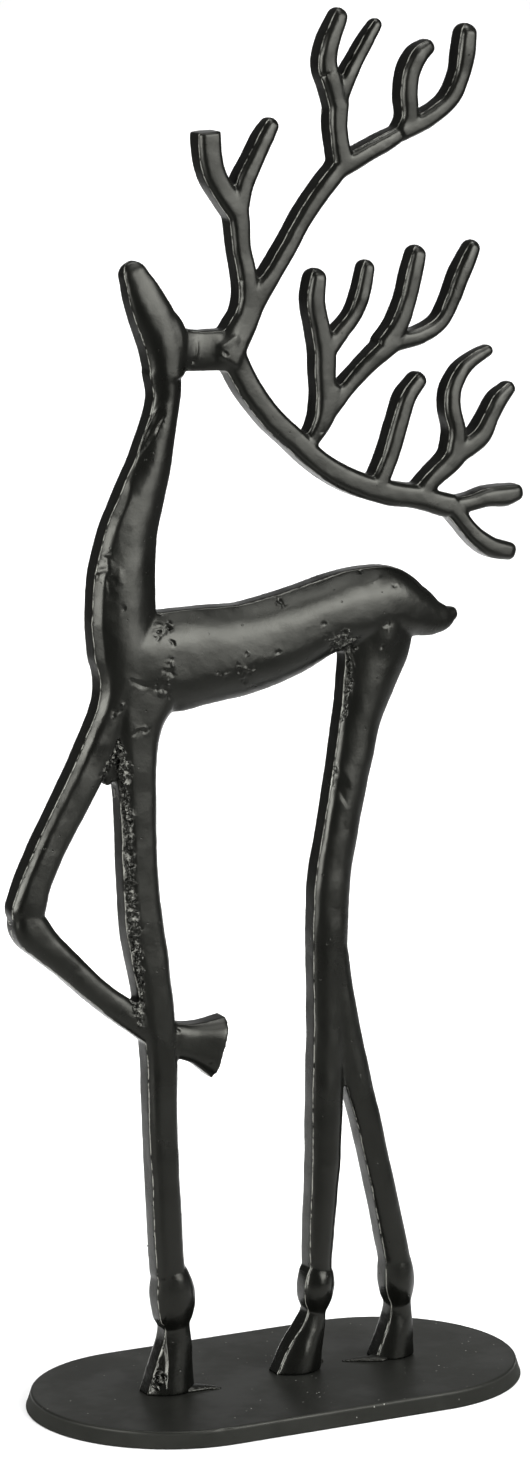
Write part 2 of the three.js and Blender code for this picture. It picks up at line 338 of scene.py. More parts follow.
@dataclass(frozen=True)
class Section:
    """The section of a limb: a flat ground band, a chamfer and a crowned face on either side.

    The band's width and the bars' depth are in thousandths of the figure's height, as the
    stations are. The chamfer, the fade of a ground edge and the step between rings are in
    millimetres. The widest and the tallest share keep a chamfer within its limb.
    """

    band: float = 13.5
    band_share: float = 0.64
    bar_depth: float = 21.0
    bar_fullness: float = 1.5
    tip_reach: float = 0.56
    chamfer: float = 0.5
    chamfer_slope: float = 1.3
    widest_share: float = 0.32
    tallest_share: float = 0.88
    flat: float = 5.0
    fade: float = 10.0
    step: float = 0.5
    points: int = 30
    tip_angles: tuple[int, ...] = (10, 20, 30, 40, 50, 60, 70, 79, 86)

    def depth(self, station: tuple[float, ...]) -> float:
        """The depth at a station.

        Args:
            station: the station.

        Returns:
            The depth in thousandths of the figure's height.
        """
        if len(station) > 3:
            return station[3]
        return min(station[2] * self.bar_fullness, self.bar_depth)

    def band_at(self, deep: np.ndarray) -> np.ndarray:
        """The width of the ground band where a limb is this deep, in millimetres."""
        return np.minimum(self.band * SHARE, self.band_share * deep)

    def places(self) -> tuple[np.ndarray, np.ndarray]:
        """The corners of a section.

        Returns:
            Where they lie across it, from -1 to 1, and their face, as 1 or -1.
        """
        across = np.cos(np.linspace(0, math.pi, self.points))
        face = np.ones(self.points)
        return np.concatenate([across, -across]), np.concatenate([face, -face])

    def chamfers(self, limb: Limb, up: np.ndarray, towards_head: np.ndarray) -> np.ndarray:
        """The chamfer's width at each corner of each ring.

        Args:
            limb: the limb.
            up: the rings' heights in millimetres.
            towards_head: whether each corner lies on the side towards the head.

        Returns:
            The widths in millimetres.
        """
        low, high, wide = limb.edge
        share = np.interp(up, [low - self.fade, low, high, high + self.fade], [0, 1, 1, 0])
        extra = share * max(wide - self.chamfer, 0.0)
        return self.chamfer + extra[:, None] * towards_head

    def crowns(self, limb: Limb, up: np.ndarray) -> np.ndarray:
        """The power of the crown's curve at rings of these heights, as a column."""
        below = limb.flat_below
        return np.interp(up, [below - self.fade, below], [self.flat, limb.crown])[:, None]

    def rise(
        self,
        across: np.ndarray,
        half: np.ndarray,
        height: np.ndarray,
        cut: np.ndarray,
        crown: np.ndarray,
    ) -> np.ndarray:
        """How far the face stands above the band's edge.

        Args:
            across: the corners' places from -1 to 1.
            half: the rings' half widths in millimetres, as a column.
            height: the rings' full rise in millimetres, as a column.
            cut: the chamfer's width at each corner of each ring.
            crown: the power of the crown's curve at each ring, as a column.

        Returns:
            The rise in millimetres at each corner of each ring.
        """
        cut = np.minimum(cut, self.widest_share * half)
        start = np.minimum(cut * self.chamfer_slope, self.tallest_share * height)
        inward = half * (1 - np.abs(across))
        rest = np.clip(np.abs(across) * half / (half - cut), 0, 1)
        dome = start + (height - start) * (1 - rest**crown)
        return np.where(inward < cut, start * inward / cut, dome)


def curve(points: np.ndarray, at: np.ndarray, even: bool) -> np.ndarray:
    """A smooth curve through points.

    Args:
        points: the points, one a row.
        at: places on the curve, where 0 is the first point and 1 the second.
        even: whether each stretch between points counts as equally long.

    Returns:
        The curve at those places.
    """
    padded = np.vstack([2 * points[0] - points[1], points, 2 * points[-1] - points[-2]])
    part = np.minimum(at.astype(int), len(points) - 2)
    t = (at - part)[:, None]
    before, first, second, after = (padded[part + k] for k in range(4))
    if even:
        leave = (second - before) / 2
        arrive = (after - first) / 2
    else:
        gaps = [
            np.sqrt(np.linalg.norm(b - a, axis=1))[:, None]
            for a, b in ((before, first), (first, second), (second, after))
        ]
        near = (second - first) / gaps[1]
        leave = (first - before) / gaps[0] - (second - before) / (gaps[0] + gaps[1]) + near
        arrive = near - (after - first) / (gaps[1] + gaps[2]) + (after - second) / gaps[2]
        leave, arrive = leave * gaps[1], arrive * gaps[1]
    bend = 3 * (second - first) - 2 * leave - arrive
    turn = 2 * (first - second) + leave + arrive
    return first + leave * t + bend * t**2 + turn * t**3


def ripple(points: np.ndarray, size: float, seed: int, count: int = 28) -> np.ndarray:
    """Smooth noise made of plane waves, about 1 high.

    Args:
        points: places in millimetres, one a row.
        size: length of the waves in millimetres.
        seed: the seed of their directions.
        count: how many waves are added.

    Returns:
        The noise at each place.
    """
    rng = np.random.default_rng(seed)
    heading = rng.normal(size=(count, 3))
    heading /= np.linalg.norm(heading, axis=1)[:, None]
    pace = heading * (2 * math.pi / size) * rng.uniform(0.6, 1.5, (count, 1))
    waves = np.sin(points @ pace.T + rng.uniform(0, 2 * math.pi, count))
    return waves.sum(1) * math.sqrt(2 / count)


def new_mesh(name: str, points: np.ndarray, faces: list) -> bpy.types.Mesh:
    """Makes a mesh.

    Args:
        name: its name.
        points: its points in millimetres, one a row.
        faces: each face's list of corners.

    Returns:
        The mesh.
    """
    mesh = bpy.data.meshes.new(name)
    mesh.from_pydata((np.asarray(points) * MM).tolist(), [], faces)
    mesh.update()
    return mesh


def applied(
    mesh: bpy.types.Mesh, name: str, kind: str, settings: dict[str, object]
) -> bpy.types.Mesh:
    """Puts a modifier on a mesh and keeps the result.

    Args:
        mesh: the mesh, which stays as it is.
        name: name of the new mesh.
        kind: the modifier's type.
        settings: its properties.

    Returns:
        The new mesh.
    """
    carrier = bpy.data.objects.new(name, mesh)
    bpy.context.scene.collection.objects.link(carrier)
    modifier = carrier.modifiers.new(name, kind)
    for key, value in settings.items():
        if key.startswith("Socket"):
            modifier[key] = value
        else:
            setattr(modifier, key, value)
    graph = bpy.context.evaluated_depsgraph_get()
    result = bpy.data.meshes.new_from_object(carrier.evaluated_get(graph))
    bpy.data.objects.remove(carrier)
    result.name = name
    return result


def read_points(mesh: bpy.types.Mesh) -> np.ndarray:
    """The mesh's points.

    Args:
        mesh: the mesh.

    Returns:
        The points in millimetres, one a row.
    """
    flat = np.empty(len(mesh.vertices) * 3, np.float32)
    mesh.vertices.foreach_get("co", flat)
    return flat.reshape(-1, 3).astype(float) / MM


def read_normals(mesh: bpy.types.Mesh) -> np.ndarray:
    """The mesh's normals.

    Args:
        mesh: the mesh.

    Returns:
        The normals at its points, one a row.
    """
    flat = np.empty(len(mesh.vertices) * 3, np.float32)
    mesh.vertex_normals.foreach_get("vector", flat)
    return flat.reshape(-1, 3).astype(float)


def write_points(mesh: bpy.types.Mesh, points: np.ndarray) -> None:
    """Moves the mesh's points to these places in millimetres."""
    mesh.vertices.foreach_set("co", (points * MM).astype(np.float32).ravel())
    mesh.update()


def placed(
    name: str, mesh: bpy.types.Mesh, material: bpy.types.Material
) -> bpy.types.Object:
    """Makes a smooth-shaded piece of the statue from a mesh.

    Args:
        name: the piece's name.
        mesh: its mesh, in place.
        material: its finish.

    Returns:
        The piece, riding on the body.
    """
    mesh.name = name
    mesh.materials.clear()
    mesh.materials.append(material)
    mesh.shade_smooth()
    piece = bpy.data.objects.new(name, mesh)
    bpy.context.scene.collection.objects.link(piece)
    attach(piece, "root")
    mesh.calc_loop_triangles()
    log.info("%s: %d triangles", name, len(mesh.loop_triangles))
    return piece


@dataclass(frozen=True)
class Flaw:
    """A dent of the near face: its place and size in millimetres and its turn in degrees.

    A negative depth stands proud.
    """

    along: float
    up: float
    long: float
    wide: float
    deep: float
    turn: float = 0.0

    def across(self, points: np.ndarray) -> np.ndarray:
        """How far each point is from the middle of the flaw.

        Args:
            points: the points in millimetres, one a row.

        Returns:
            The distances, where 1 is the ragged edge.
        """
        angle = math.radians(self.turn)
        dx = points[:, 0] - self.along
        dz = points[:, 2] - self.up
        u = (dx * math.cos(angle) + dz * math.sin(angle)) / self.long
        v = (dz * math.cos(angle) - dx * math.sin(angle)) / self.wide
        way = np.arctan2(v, u)
        ragged = 0.2 * np.sin(2 * way + 3 * self.along) + 0.14 * np.sin(5 * way + 3 * self.up)
        return np.hypot(u, v) * (1 + ragged)

    def press(self, points: np.ndarray) -> np.ndarray:
        """How deep each point is pressed in, with a low rim round the edge.

        Args:
            points: the points in millimetres, one a row.

        Returns:
            The depths in millimetres.
        """
        far = self.across(points)
        rim = 0.16 * np.exp(-(((far - 1.3) / 0.28) ** 2))
        return self.deep * (np.exp(-1.4 * far**4) - rim)


@dataclass(frozen=True)
class Cluster:
    """A crowd of small pits and scabs of the near face, placed and sized in millimetres."""

    along: float
    up: float
    reach: float
    rise: float
    count: int
    size: float
    deep: float
    seed: int

    def flaws(self) -> list[Flaw]:
        """The pits and scabs, one by one.

        Returns:
            The flaws.
        """
        rng = np.random.default_rng(self.seed)
        made = []
        for _ in range(self.count):
            long = self.size * rng.uniform(0.6, 1.6)
            made.append(
                Flaw(
                    self.along + self.reach * float(np.clip(rng.normal() / 2, -1, 1)),
                    self.up + self.rise * float(np.clip(rng.normal() / 2, -1, 1)),
                    long,
                    long * rng.uniform(0.4, 0.8),
                    self.deep * float(rng.choice([1.0, 1.0, 0.7, -0.8])),
                    rng.uniform(0, 180),
                )
            )
        return made


@dataclass(frozen=True)
class Streak:
    """A run of rough skin down the near face, through (up, left, right) in millimetres."""

    course: tuple[tuple[float, float, float], ...]
    deep: float = 1.0

    def across(self, points: np.ndarray) -> np.ndarray:
        """How far each point is from the middle of the streak.

        Args:
            points: the points in millimetres, one a row.

        Returns:
            The distances, where 1 is the edge.
        """
        up, left, right = np.array(sorted(self.course)).T
        near = np.interp(points[:, 2], up, left)
        far = np.interp(points[:, 2], up, right)
        beyond = (points[:, 2] < up[0]) | (points[:, 2] > up[-1])
        half = np.maximum((far - near) / 2, 0.02)
        return np.abs(points[:, 0] - (near + far) / 2) / half + 9 * beyond


@dataclass
class Stag:
    """The stag and its antlers, one casting in iron; lengths are in millimetres."""

    limbs: dict[str, Limb]
    finish: BlackPaint
    section: Section = Section()
    voxel: float = 0.55
    target: int = 150_000
    first_rounds: int = 3
    crease_radius: float = 4.0
    crease_rounds: int = 230
    crease_heights: tuple[float, float] = (50.0, 75.0)
    crease_fill: tuple[float, float] = (0.15, 0.9)
    last_rounds: int = 2
    sway: float = 0.07
    sway_size: float = 15.0
    hammer: float = 0.018
    hammer_size: float = 4.5
    flaws: tuple[Flaw, ...] = ()
    rough: tuple[Flaw | Streak, ...] = ()
    rough_edge: float = 3.5
    rough_depth: float = 0.8
    rough_relief: float = 0.6
    chip: float = 3.4
    small_chip: float = 1.9
    small_share: float = 0.6
    mean_chip: float = 0.6
    jag: float = 0.16
    jag_size: float = 2.8
    rough_sharpness: float = 3.5
    rough_fade: float = 0.6
    face_gain: float = 1.6
    head_gain: float = 1.5
    sole: float = 1.5
    middles: list = field(default_factory=list)
    bands: list = field(default_factory=list)

    def rings(self, limb: Limb) -> np.ndarray:
        """The sections of a limb, whose middle and band are noted for the paint.

        Args:
            limb: the limb.

        Returns:
            The rings of points in millimetres.
        """
        stations = limb.stations
        places = np.array([[s[0] * SHARE, 0.0, PLATE_TOP + s[1] * SHARE] for s in stations])
        sizes = np.array([[s[2] * SHARE, self.section.depth(s) * SHARE] for s in stations])
        reach = np.linalg.norm(np.diff(places, axis=0), axis=1).sum()
        last = len(stations) - 1
        at = np.linspace(0, last, max(last, math.ceil(reach / self.section.step)) + 1)
        middle = curve(places, at, even=False)
        nudge = 1e-4
        course = curve(places, np.minimum(at + nudge, last), False)
        course -= curve(places, np.maximum(at - nudge, 0), False)
        course /= np.linalg.norm(course, axis=1)[:, None]
        size = curve(sizes, at, even=True)
        if limb.rounded:
            angle = np.radians(self.section.tip_angles)
            wide = size[-1, 0]
            beyond = (np.sin(angle) * wide * self.section.tip_reach)[:, None]
            middle = np.vstack([middle, middle[-1] + course[-1] * beyond])
            size = np.vstack([size, size[-1] * np.cos(angle)[:, None]])
            course = np.vstack([course, np.repeat(course[-1:], len(angle), axis=0)])
        across, face = self.section.places()
        size = np.maximum(size, 0.01)
        band = self.section.band_at(size[:, 1])
        self.middles.extend(middle[:, [0, 2]].tolist())
        self.bands.extend((band / 2).tolist())
        side = np.stack([course[:, 2], np.zeros(len(course)), -course[:, 0]], axis=1)
        half = size[:, :1] / 2
        height = (size[:, 1] - band)[:, None] / 2
        cut = self.section.chamfers(limb, middle[:, 2], side[:, :1] * across < 0)
        ring = middle[:, None, :] + side[:, None, :] * (across * half)[:, :, None]
        crown = self.section.crowns(limb, middle[:, 2])
        rise = self.section.rise(across, half, height, cut, crown)
        ring[:, :, 1] += face * (band[:, None] / 2 + rise)
        return ring

    def rough_cast(self) -> bpy.types.Mesh:
        """Puts the limbs together, cut off level at the soles.

        Returns:
            Their overlapping closed skins.
        """
        points: list[np.ndarray] = []
        faces: list[list[int]] = []
        start = 0
        for limb in self.limbs.values():
            ring = self.rings(limb)
            rows, count = ring.shape[:2]
            points.append(ring.reshape(-1, 3))
            here = start + np.arange(rows * count).reshape(rows, count)
            there = np.roll(here, -1, axis=1)
            quads = np.stack([here[:-1], there[:-1], there[1:], here[1:]], axis=2)
            faces.extend(quads.reshape(-1, 4).tolist())
            faces.append(here[0][::-1].tolist())
            faces.append(here[-1].tolist())
            start += rows * count
        mesh = new_mesh("rough_cast", np.vstack(points), faces)
        work = bmesh.new()
        work.from_mesh(mesh)
        level = Vector((0, 0, PLATE_TOP * MM))
        everything = work.verts[:] + work.edges[:] + work.faces[:]
        bmesh.ops.bisect_plane(
            work, geom=everything, plane_co=level, plane_no=(0, 0, 1), clear_inner=True
        )
        bmesh.ops.holes_fill(work, edges=[e for e in work.edges if e.is_boundary])
        bmesh.ops.recalc_face_normals(work, faces=work.faces)
        work.to_mesh(mesh)
        work.free()
        return mesh

    def settle(self, mesh: bpy.types.Mesh) -> None:
        """Evens out the skin and fills the creases between limbs, less so at the hooves.

        Args:
            mesh: the casting's skin.
        """
        points = read_points(mesh)
        edges = np.empty(len(mesh.edges) * 2, np.int32)
        mesh.edges.foreach_get("vertices", edges)
        edges = edges.reshape(-1, 2)
        ends = np.concatenate([edges[:, 0], edges[:, 1]])
        others = np.concatenate([edges[:, 1], edges[:, 0]])
        share = 1 / np.maximum(np.bincount(ends, minlength=len(points)), 1)

        def pull(at: np.ndarray) -> np.ndarray:
            """How far each point is from the mean of its neighbours."""
            mean = [np.bincount(ends, at[others, k], len(at)) * share for k in range(3)]
            return np.stack(mean, axis=1) - at

        for _ in range(self.first_rounds):
            points += 0.5 * pull(points)
        write_points(mesh, points)
        normals = read_normals(mesh)
        limit = self.voxel**2 / (4 * self.crease_radius)
        fill = np.interp(points[:, 2], self.crease_heights, self.crease_fill)
        for _ in range(self.crease_rounds):
            lift = (pull(points) * normals).sum(1) - limit
            points += normals * (np.maximum(lift, 0) * fill)[:, None]
        for _ in range(self.last_rounds):
            points += 0.5 * pull(points)
        points[:, 2] = np.maximum(points[:, 2], PLATE_TOP)
        write_points(mesh, points)

    def weather(self, mesh: bpy.types.Mesh) -> None:
        """Presses the casting's sway, hammered skin and flaws into the mesh.

        Args:
            mesh: the casting's skin.
        """
        points = read_points(mesh)
        normals = read_normals(mesh)
        move = ripple(points, self.sway_size, 3) * self.sway
        move += ripple(points, self.hammer_size, 4) * self.hammer
        rough = self.roughness(points)
        chipped = np.abs(ripple(points, self.chip, 5))
        chipped += self.small_share * np.abs(ripple(points, self.small_chip, 6))
        move += rough * (self.rough_relief * (chipped - self.mean_chip) - self.rough_depth)
        near = np.clip(-normals[:, 1] * self.face_gain, 0, 1)
        for flaw in self.flaws:
            move -= flaw.press(points) * near
        soles = np.clip((points[:, 2] - PLATE_TOP) / self.sole, 0, 1)
        write_points(mesh, points + normals * (move * soles)[:, None])

    def roughness(self, points: np.ndarray) -> np.ndarray:
        """How rough the skin is.

        Args:
            points: the points in millimetres, one a row.

        Returns:
            The roughness at each point, from 0 to 1.
        """
        result = np.zeros(len(points))
        jag = 1.0 + self.jag * ripple(points, self.jag_size, 8)
        for patch in self.rough:
            inside = np.clip((jag - patch.across(points)) * self.rough_sharpness, 0, 1)
            result = np.maximum(result, patch.deep * inside)
        return result * np.clip((-self.rough_edge - points[:, 1]) / self.rough_fade, 0, 1)

    def mark(self, mesh: bpy.types.Mesh) -> None:
        """Stores what the paint reads: the way beyond the band, rough skin and the heading, which
        keeps the lip's painted highlight on faces towards the head.

        Args:
            mesh: the casting's skin, with its flaws.
        """
        points = read_points(mesh)
        tree = kdtree.KDTree(len(self.middles))
        for index, (along, up) in enumerate(self.middles):
            tree.insert((along, 0.0, up), index)
        tree.balance()
        half = np.array([self.bands[tree.find((p[0], 0.0, p[2]))[1]] for p in points])
        values = {
            "beyond_band": np.abs(points[:, 1]) - half,
            "rough_skin": self.roughness(points),
            # Faces turned towards the head get the lip's painted highlight.
            "towards_head": np.clip(-self.head_gain * read_normals(mesh)[:, 0], 0, 1),
        }
        for name, value in values.items():
            layer = mesh.attributes.new(name, "FLOAT", "POINT")
            layer.data.foreach_set("value", value.astype(np.float32))

    def build(self) -> bpy.types.Object:
        """Casts, fettles and paints the stag.

        Returns:
            The piece that stands for the stag's node.
        """
        mesh = self.rough_cast()
        mesh = applied(mesh, "cast", "REMESH", {"mode": "VOXEL", "voxel_size": self.voxel * MM})
        self.settle(mesh)
        self.weather(mesh)
        count = 2 * len(mesh.polygons)
        log.info("skin before thinning: %d triangles", count)
        mesh = applied(mesh, "thin", "DECIMATE", {"ratio": min(1.0, self.target / count)})
        self.mark(mesh)
        paint = self.finish.material()
        mesh = Grains(paint).spread(mesh)
        stag = placed("stag_casting", mesh, paint)
        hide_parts("stag")
        return stag


def opened(name: str, inputs: dict[str, str]) -> tuple[Nodes, dict[str, Wire]]:
    """Starts a tree of geometry nodes.

    Args:
        name: the tree's name.
        inputs: the kinds of its inputs, by their names.

    Returns:
        The tree's nodes, and a wire from each input.
    """
    tree = bpy.data.node_groups.new(name, "GeometryNodeTree")
    nodes = Nodes(tree)
    for label, kind in inputs.items():
        tree.interface.new_socket(label, in_out="INPUT", socket_type=f"NodeSocket{kind}")
    tree.interface.new_socket("Geometry", in_out="OUTPUT", socket_type="NodeSocketGeometry")
    return nodes, {label: nodes.add("NodeGroupInput", None, None, label) for label in inputs}


def closed(nodes: Nodes, shape: Wire, paint: Wire) -> bpy.types.NodeTree:
    """Ends a tree of geometry nodes: makes the shape one real mesh and paints it.

    Args:
        nodes: the tree's nodes.
        shape: what the tree has made.
        paint: the material.

    Returns:
        The tree.
    """
    solid = nodes.add("GeometryNodeRealizeInstances", None, {"Geometry": shape})
    done = nodes.add("GeometryNodeSetMaterial", None, {"Geometry": solid, "Material": paint})
    nodes.add("NodeGroupOutput", {"is_active_output": True}, {"Geometry": done})
    return nodes.tree


@dataclass
class Grains:
    """Grains of sand and shot that the paint covers, thick on rough skin and rare elsewhere.

    Their numbers are for a square millimetre and their sizes are in millimetres.
    """

    paint: bpy.types.Material
    on_rough: float = 0.02
    elsewhere: float = 0.0012
    smallest: float = 0.14
    largest: float = 0.34
    seed: int = 7

    def tree(self) -> bpy.types.NodeTree:
        """The geometry nodes that scatter the grains.

        Returns:
            The tree.
        """
        sizes = dict.fromkeys(("On rough skin", "Elsewhere", "Smallest", "Largest"), "Float")
        inputs = {"Geometry": "Geometry", **sizes, "Seed": "Int", "Paint": "Material"}
        nodes, given = opened("casting grains", inputs)
        rough = nodes.add(
            "GeometryNodeInputNamedAttribute", {"data_type": "FLOAT"}, {"Name": "rough_skin"}
        )
        density = rough * given["On rough skin"] + given["Elsewhere"]
        points = nodes.add(
            "GeometryNodeDistributePointsOnFaces",
            {"distribute_method": "RANDOM"},
            {"Mesh": given["Geometry"], "Density": density * MM**-2, "Seed": given["Seed"]},
        )
        ball = nodes.add("GeometryNodeMeshIcoSphere", None, {"Radius": 1.0, "Subdivisions": 2})
        size = nodes.add(
            "FunctionNodeRandomValue",
            {"data_type": "FLOAT"},
            {2: given["Smallest"], 3: given["Largest"], "Seed": given["Seed"]},
            "Value",
        )
        sockets = {"Points": points, "Instance": ball, "Scale": size}
        grains = nodes.add("GeometryNodeInstanceOnPoints", None, sockets)
        joined = nodes.add("GeometryNodeJoinGeometry", None, {"Geometry": grains})
        nodes.tree.links.new(given["Geometry"].socket, joined.socket.node.inputs["Geometry"])
        return closed(nodes, joined, given["Paint"])

    def spread(self, mesh: bpy.types.Mesh) -> bpy.types.Mesh:
        """The mesh with its grains.

        Args:
            mesh: the casting, with its rough skin marked.

        Returns:
            The casting and the grains as one mesh.
        """
        tree = self.tree()
        values = {
            "On rough skin": self.on_rough,
            "Elsewhere": self.elsewhere,
            "Smallest": self.smallest * MM,
            "Largest": self.largest * MM,
            "Seed": self.seed,
            "Paint": self.paint,
        }
        return applied(mesh, "grained", "NODES", {"node_group": tree, **inputs_of(tree, values)})


def inputs_of(tree: bpy.types.NodeTree, values: dict[str, object]) -> dict[str, object]:
    """The values of a tree's inputs, by the sockets' identifiers."""
    sockets = {s.name: s.identifier for s in tree.interface.items_tree if s.in_out == "INPUT"}
    return {sockets[name]: value for name, value in values.items()}


@dataclass
class BasePlate:
    """The oval plate that the hooves are welded to, smooth on top; lengths are in millimetres.

    The draft is how far the rim leans in over its whole height.
    """

    finish: BlackPaint
    draft: float = 1.9
    edge: float = 0.9
    foot: float = 0.4
    flats: int = 72
    side_points: int = 150
    side_rings: int = 6
    edge_angles: tuple[int, ...] = (20, 40, 60, 75, 90)
    top_rings: int = 22
    rim_dents: tuple[Flaw, ...] = (Flaw(-46.1, 5.2, 1.7, 1.1, 0.8),)

    def ring(self, inset: float, height: float) -> np.ndarray:
        """The plate's outline.

        Args:
            inset: how far it is set in.
            height: its height.

        Returns:
            Its points in millimetres, one a row.
        """
        radius = PLATE_WIDTH / 2 - inset
        straight = (PLATE_LENGTH - PLATE_WIDTH) / 2
        angle = np.linspace(-math.pi / 2, math.pi / 2, self.flats)
        level = np.full(self.flats, height)
        half = np.stack(
            [straight + radius * np.cos(angle), radius * np.sin(angle), level], axis=1
        )
        steps = np.linspace(0, 1, self.side_points)[1:-1, None]
        run = half[-1] + (half[-1] * (-1, 1, 1) - half[-1]) * steps
        return np.vstack([half, run, half * (-1, -1, 1), run * (-1, -1, 1)])

    def profile(self) -> list[tuple[float, float]]:
        """The rim's section from the underside to the top.

        Returns:
            Its insets and heights.
        """
        slope = self.draft / PLATE_TOP
        rim = [(self.foot, 0.0), (self.foot * 0.3, self.foot * 0.3), (0.02, self.foot)]
        for height in np.linspace(1.0, PLATE_TOP - self.edge, self.side_rings):
            rim.append((float(height) * slope, float(height)))
        lean = rim[-1][0]
        for angle in np.radians(self.edge_angles):
            inset = lean + self.edge * (1 - math.cos(angle))
            rim.append((inset, PLATE_TOP - self.edge * (1 - math.sin(angle))))
        return rim

    def build(self) -> bpy.types.Object:
        """Makes and paints the plate.

        Returns:
            The piece that stands for the plate's node.
        """
        rim = self.profile()
        insets = np.linspace(rim[-1][0] + 1, PLATE_WIDTH / 2 - 1, self.top_rings)
        rings = [self.ring(*place) for place in rim + [(inset, PLATE_TOP) for inset in insets]]
        count = len(rings[0])
        points = np.vstack(rings)
        here = np.arange(len(rings) * count).reshape(-1, count)
        there = np.roll(here, -1, axis=1)
        quads = np.stack([here[:-1], there[:-1], there[1:], here[1:]], axis=2).reshape(-1, 4)
        faces = [*quads.tolist(), here[0][::-1].tolist(), here[-1].tolist()]
        for dent in self.rim_dents:
            near = points[:, 1] < -PLATE_WIDTH / 4
            points[:, 1] += np.where(near, dent.press(points), 0)
        mesh = new_mesh("plate", points, faces)
        plate = placed("oval_plate", mesh, self.finish.material())
        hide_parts("base_plate")
        return plate


@dataclass(frozen=True)
class Bead:
    """One run of weld along a hoof, through points on the plate in millimetres."""

    name: str
    path: tuple[tuple[float, float, float], ...]
    size: float = 1.6


@dataclass
class Welds:
    """The weld beads that hold the hooves to the plate; lengths are in millimetres."""

    beads: tuple[Bead, ...]
    finish: BlackPaint
    pitch: float = 0.5
    flatness: float = 0.4
    uneven: float = 0.1
    taper: float = 0.75
    voxel: float = 0.22
    seed: int = 11

    def tree(self) -> bpy.types.NodeTree:
        """The geometry nodes that lay overlapping ripples along a path, smaller to its end.

        Returns:
            The tree.
        """
        inputs = {"Geometry": "Geometry", "Pitch": "Float", "Size": "Float", "Shape": "Vector"}
        nodes, given = opened("weld bead", {**inputs, "Seed": "Int", "Paint": "Material"})
        line = nodes.add("GeometryNodeMeshToCurve", None, {"Mesh": given["Geometry"]})
        sockets = {"Curve": line, "Length": given["Pitch"]}
        even = nodes.add("GeometryNodeResampleCurve", {"mode": "LENGTH"}, sockets)
        drop = nodes.add("GeometryNodeMeshIcoSphere", None, {"Radius": 1.0, "Subdivisions": 3})
        sockets = {2: 1.0 - self.uneven, 3: 1.0 + self.uneven, "Seed": given["Seed"]}
        swell = nodes.add("FunctionNodeRandomValue", {"data_type": "FLOAT"}, sockets)
        way = nodes.add("GeometryNodeSplineParameter", None, None, "Factor")
        size = nodes.add(
            "ShaderNodeVectorMath",
            {"operation": "SCALE"},
            {0: given["Shape"], "Scale": swell * given["Size"] * (1.0 - way * self.taper)},
        )
        sockets = {"Points": even, "Instance": drop, "Scale": size}
        ripples = nodes.add("GeometryNodeInstanceOnPoints", None, sockets)
        return closed(nodes, ripples, given["Paint"])

    def build(self) -> list[bpy.types.Object]:
        """Lays and paints every bead.

        Returns:
            The beads.
        """
        paint = self.finish.material()
        tree = self.tree()
        made = []
        for number, bead in enumerate(self.beads):
            path = bpy.data.meshes.new(bead.name)
            links = [(k, k + 1) for k in range(len(bead.path) - 1)]
            path.from_pydata([tuple(c * MM for c in p) for p in bead.path], links, [])
            values = {
                "Pitch": self.pitch * MM,
                "Size": bead.size * MM,
                "Shape": (1.0, 1.0, self.flatness),
                "Seed": self.seed + number,
                "Paint": paint,
            }
            settings = {"node_group": tree, **inputs_of(tree, values)}
            mesh = applied(path, bead.name, "NODES", settings)
            remesh = {"mode": "VOXEL", "voxel_size": self.voxel * MM}
            mesh = applied(mesh, bead.name, "REMESH", remesh)
            made.append(placed(bead.name, mesh, paint))
        return made


# Studio


def hang_light(
    name: str, size: tuple[float, float], radiance: float, spread: float
) -> bpy.types.Object:
    """Makes a rectangular light.

    Args:
        name: the light's name.
        size: its width and length in metres.
        radiance: how bright its face is.
        spread: the angle that its light fills, in degrees.

    Returns:
        The light, which is then put in its place.
    """
    light = bpy.data.lights.new(name, "AREA")
    light.shape = "RECTANGLE"
    light.size, light.size_y = size
    light.energy = radiance * math.pi * size[0] * size[1]
    light.spread = math.radians(spread)
    lamp = bpy.data.objects.new(name, light)
    bpy.context.scene.collection.objects.link(lamp)
    return lamp


@dataclass(frozen=True)
class SoftBox:
    """A rectangular light that faces the figure's middle, in metres."""

    name: str
    bearing: float
    height: float
    distance: float
    width: float
    tall: float
    radiance: float
    spread: float = 80.0

    def build(self, target: Vector) -> None:
        """Hangs the light.

        Args:
            target: the place that it is turned to.
        """
        lamp = hang_light(self.name, (self.width, self.tall), self.radiance, self.spread)
        angle = math.radians(self.bearing)
        along = self.distance * math.sin(angle)
        lamp.location = (along, -self.distance * math.cos(angle), self.height)
        lamp.rotation_euler = (target - lamp.location).to_track_quat("-Z", "Y").to_euler()


